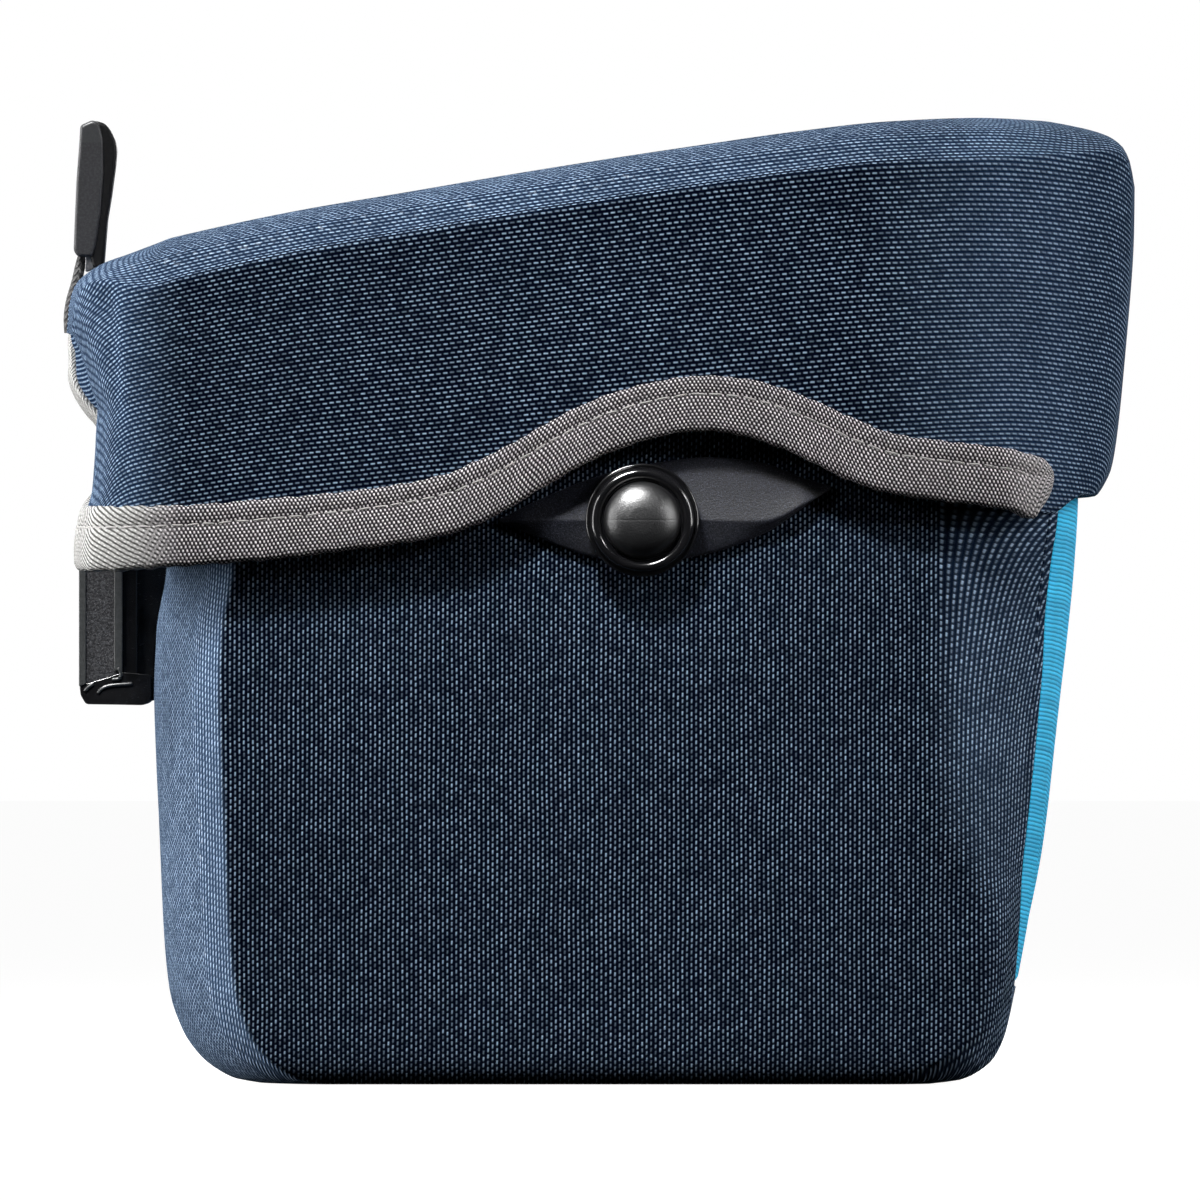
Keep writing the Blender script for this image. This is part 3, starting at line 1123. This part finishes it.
def rod(name, path, radius, material, flat=1.0):
    """A rounded rail along points, with rounded ends."""
    path = np.array(path, float)
    builder = Builder()
    tangents = np.gradient(path, axis=0)
    tangents /= np.linalg.norm(tangents, axis=1)[:, None]
    rows_ = []
    n = len(path)
    ends = [(-0.92, 0.38), (-0.7, 0.71), (-0.38, 0.92)]
    stops = [(0, e, r) for e, r in ends] + [(i, 0.0, 1.0) for i in range(n)] + [(n - 1, -e, r) for e, r in ends[::-1]]
    for i, e, r in stops:
        tan = tangents[i]
        side = np.array([0, 1.0, 0])
        up = np.cross(side, tan)
        up /= np.linalg.norm(up)
        centre = path[i] + tan * e * radius
        rows_.append([centre + radius * r * (math.cos(q) * up + flat * math.sin(q) * side) for q in np.linspace(0, TAU, 17)[:-1]])
    builder.grid(rows_, np.zeros((len(rows_), 16, 2)), close=True)
    for ring in (rows_[0], rows_[-1]):
        builder.fan(ring, np.mean(ring, 0))
    return builder.mesh(name, [material])


TAB_DARK = grained_plastic("tab_dark_plastic", (0.004, 0.004, 0.005), (0.008, 0.008, 0.009), 0.42, 0.6, 0.015, spec=0.08)
PIN_PLASTIC = grained_plastic("tab_pin_plastic", (0.10, 0.10, 0.105), (0.16, 0.16, 0.165), 0.30, 0.5, 0.015)

# block with a grained face between two rounded rails, over a smooth foot
piece(prism("bracket_block", [(-103.5, 78.0), (-103.5, 111.0), (-102.6, 112.0), (-97.0, 112.0), (-96.4, 111.0), (-96.4, 78.6)], 32.9, BRACKET_GRAIN, 0.5, 0.4), "bracket_plastic", "mount_bracket")
piece(prism("bracket_back_rail", [(-104.3, 79.0), (-104.3, 110.8), (-103.4, 112.1), (-102.9, 112.1), (-102.9, 79.6)], 33.6, BRACKET_RIM, 0.62, 0.3), "bracket_plastic")
piece(prism("bracket_front_rail", [(-97.2, 82.4), (-97.2, 112.0), (-95.6, 111.6), (-95.6, 81.9)], 33.7, BRACKET_RIM, 0.72, 0.3), "bracket_plastic")
piece(prism("bracket_foot", [(-104.25, 80.0), (-104.0, 77.4), (-102.9, 75.5), (-96.4, 75.4), (-91.4, 75.3), (-90.2, 75.9), (-89.8, 77.2), (-89.8, 81.4), (-95.6, 81.9), (-97.4, 81.2), (-103.4, 79.4)], 33.2, BASE_PLASTIC, 0.9, 0.6), "bracket_plastic")
for sgn, side_name in ((-1, "right"), (1, "left")):
    lines = {
        "curl": [(-96.3, 82.6), (-95.9, 81.9), (-95.9, 81.0), (-96.5, 80.5), (-97.4, 80.5)],
        "lip": [(-100.4, 77.9), (-99.8, 78.6), (-98.8, 79.1), (-97.2, 79.4), (-95.4, 79.5), (-93.8, 79.6)],
        "toe": [(-103.0, 78.3), (-102.4, 79.0), (-101.6, 79.5)],
    }
    for line_name, pts in lines.items():
        pts = rounded(pts, [0] + [0.6] * (len(pts) - 2) + [0], [3] * (len(pts) - 1), 3)
        at = 33.35 if line_name != "curl" else 33.5
        piece(rod(f"bracket_{line_name}_{side_name}", [(q[0], sgn * at, q[1]) for q in pts], 0.34, BRACKET_RIM), "bracket_plastic")
piece(prism("bracket_spacer", [(-95.9, 76.3), (-95.9, 109.9), (-92.5, 110.1), (-92.5, 76.0)], 30.6, BASE_PLASTIC, 0.9, 0.5), "bracket_base_plastic", "mount_bracket_base")
piece(prism("bracket_seat", [(-92.7, 75.9), (-92.7, 110.2), (-86.4, 110.2), (-86.6, 102.0), (-88.0, 93.0), (-89.0, 86.0), (-89.3, 79.0), (-89.3, 76.2)], 27.4, BASE_PLASTIC, 0.5, 0.4), "bracket_base_plastic")

# pull tab: dark core that runs down to the lid, a lighter shell over its rear side, and the pin that holds the webbing
GRIP_CORE = [
    (-104.1, 191.6), (-101.3, 192.8), (-99.3, 192.2), (-98.2, 190.9), (-97.2, 188.8), (-96.95, 187.0), (-97.2, 183.8), (-98.0, 177.8),
    (-98.8, 173.0), (-99.2, 168.0), (-99.6, 163.2), (-101.6, 163.0), (-102.4, 166.0), (-104.6, 166.4), (-105.2, 172.0), (-104.7, 181.0), (-104.3, 188.2),
]
GRIP_SHELL = [
    (-104.25, 191.8), (-101.8, 192.9), (-100.6, 192.4), (-99.7, 189.0), (-99.6, 182.0), (-100.2, 174.0), (-101.1, 168.0), (-101.8, 165.4),
    (-104.8, 165.4), (-105.6, 166.6), (-105.4, 172.0), (-105.0, 181.0), (-104.45, 188.2),
]
piece(prism("grip_core", GRIP_CORE, 10.3, TAB_DARK, 1.0, 0.7), "tab_plastic", "pull_tab")
piece(prism("grip_shell", GRIP_SHELL, 11.0, TAB_PLASTIC, 1.1, 0.6), "tab_plastic")
piece(prism("grip_pin", [(-103.3, 162.4), (-103.2, 166.0), (-101.7, 166.0), (-101.6, 162.9)], 9.8, PIN_PLASTIC, 0.4, 0.3), "tab_plastic")

# ------------------------------------------------------------------ webbing
path = rounded([(-103.4, 166.4), (-104.2, 164.2), (-105.0, 160.4), (-106.2, 156.6), (-106.7, 153.4), (-106.5, 150.2)], [0, 2, 3, 3, 2, 0], [4] * 5, 3)
step = np.concatenate([[0], np.cumsum(np.linalg.norm(np.diff(path, axis=0), axis=1))])
tangent = np.gradient(path, axis=0)
tangent /= np.linalg.norm(tangent, axis=1)[:, None]
normal = np.stack([tangent[:, 1], -tangent[:, 0]], 1)
cross = [(-9, 0), (-8.8, 0.85), (-8.3, 1.0)] + [(y, 1.0 + 0.06 * math.cos(y * 1.4)) for y in np.linspace(-7.6, 7.6, 17)] + [(8.3, 1.0), (8.8, 0.85), (9, 0), (8.8, -0.75), (8.3, -0.9)]
cross += [(y, -0.9) for y in np.linspace(7.6, -7.6, 9)] + [(-8.3, -0.9), (-8.8, -0.75)]
rows_, uvs = [], []
for p, n, s in zip(path, normal, step):
    rows_.append([(p[0] + n[0] * w, y, p[1] + n[1] * w) for y, w in cross])
    uvs.append([(s, y + 20 + w) for y, w in cross])
b = Builder()
b.grid(rows_, uvs, close=True)
for ring in (rows_[0], rows_[-1]):
    b.fan(ring, np.mean(ring, 0))
piece(b.mesh("grip_webbing", [WEBBING_CLOTH]), "webbing", "pull_tab_webbing")

# ------------------------------------------------------------------ floor, light, camera
floor_mat = Tree("floor_paint", Roughness=0.9, Specular_IOR_Level=0.0)
fx, fy, fz = floor_mat.place()
floor_mat.colour(floor_mat.mix(floor_mat.noise((fx, fy, fz), 0.004, 2.0), (0.30, 0.30, 0.30), (0.31, 0.31, 0.31)))
floor_mat.shader.inputs["Emission Color"].default_value = (1, 1, 1, 1)
floor_mat.shader.inputs["Emission Strength"].default_value = 0.97
fm = bpy.data.meshes.new("floor")
fm.from_pydata([(-14, -14, -0.0003), (14, -14, -0.0003), (14, 14, -0.0003), (-14, 14, -0.0003)], [], [(0, 1, 2, 3)])
fm.materials.append(floor_mat.material)
floor = bpy.data.objects.new("floor", fm)
bpy.context.scene.collection.objects.link(floor)
floor.visible_diffuse = False
floor.visible_glossy = False

world = bpy.data.worlds.new("studio")
bpy.context.scene.world = world
world.use_nodes = True
world.node_tree.nodes["Background"].inputs[0].default_value = (1, 1, 1, 1)
world.node_tree.nodes["Background"].inputs[1].default_value = 1.0
world.cycles_visibility.diffuse = False
world.cycles_visibility.glossy = False


def softbox(name, where, size, power, target=(0, 0, 0.1), colour=(1, 1, 1), spread=180):
    data = bpy.data.lights.new(name, "AREA")
    data.shape = "RECTANGLE"
    data.size, data.size_y = size
    data.energy = power
    data.color = colour
    data.spread = math.radians(spread)
    ob = bpy.data.objects.new(name, data)
    ob.location = where
    ob.rotation_mode = "QUATERNION"
    ob.rotation_quaternion = (Vector(target) - Vector(where)).to_track_quat("-Z", "Y")
    bpy.context.scene.collection.objects.link(ob)
    return ob


def spot(name, where, aim, power, degrees, soft):
    data = bpy.data.lights.new(name, "SPOT")
    data.energy = power
    data.spot_size = math.radians(degrees)
    data.spot_blend = 1.0
    data.shadow_soft_size = soft
    ob = bpy.data.objects.new(name, data)
    ob.location = where
    ob.rotation_mode = "QUATERNION"
    ob.rotation_quaternion = (Vector(aim) - Vector(where)).to_track_quat("-Z", "Y")
    bpy.context.scene.collection.objects.link(ob)


spot("key", (-0.30, -1.02, 1.32), (-0.032, -0.115, 0.122), 110, 15.2, 0.085)
spot("front_fill", (0.92, -0.90, 0.62), (0.084, -0.113, 0.128), 52, 8.4, 0.12)
spot("back_fill", (-0.98, -0.72, 0.60), (-0.098, -0.100, 0.136), 33, 7.8, 0.12)
softbox("left_box", (-1.30, 0.06, 0.30), (0.9, 1.0), 44)
softbox("top_box", (-0.15, 0.25, 1.45), (1.0, 0.9), 17)
softbox("right_box", (1.25, -0.20, 0.42), (0.6, 0.9), 11.5)
softbox("back_box", (0.2, 1.5, 0.6), (1.4, 0.8), 16)
# boxes that only show in glossy parts
for name, where, size, power in (
    ("gleam_top", (-0.46, -0.80, 1.24), (0.42, 0.42), 170),
    ("gleam_left", (-0.95, -0.55, 0.20), (0.16, 0.80), 6),
    ("gleam_right", (0.95, -0.62, 0.30), (0.16, 0.60), 8),
):
    softbox(name, where, size, power, target=(0.008, -0.12, 0.112)).visible_diffuse = False

cam_data = bpy.data.cameras.new("camera")
cam_data.lens = 1500
cam_data.sensor_width = 36
cam_data.clip_end = 60
cam = bpy.data.objects.new("camera", cam_data)
distance = 0.240 * 1500 / 36
cam.location = (0.0002, -0.060 - distance, 0.0964)
cam.rotation_euler = (math.radians(90), 0, 0)
bpy.context.scene.collection.objects.link(cam)
bpy.context.scene.camera = cam
bpy.context.scene.view_settings.view_transform = "Standard"
bpy.context.scene.view_settings.look = "None"
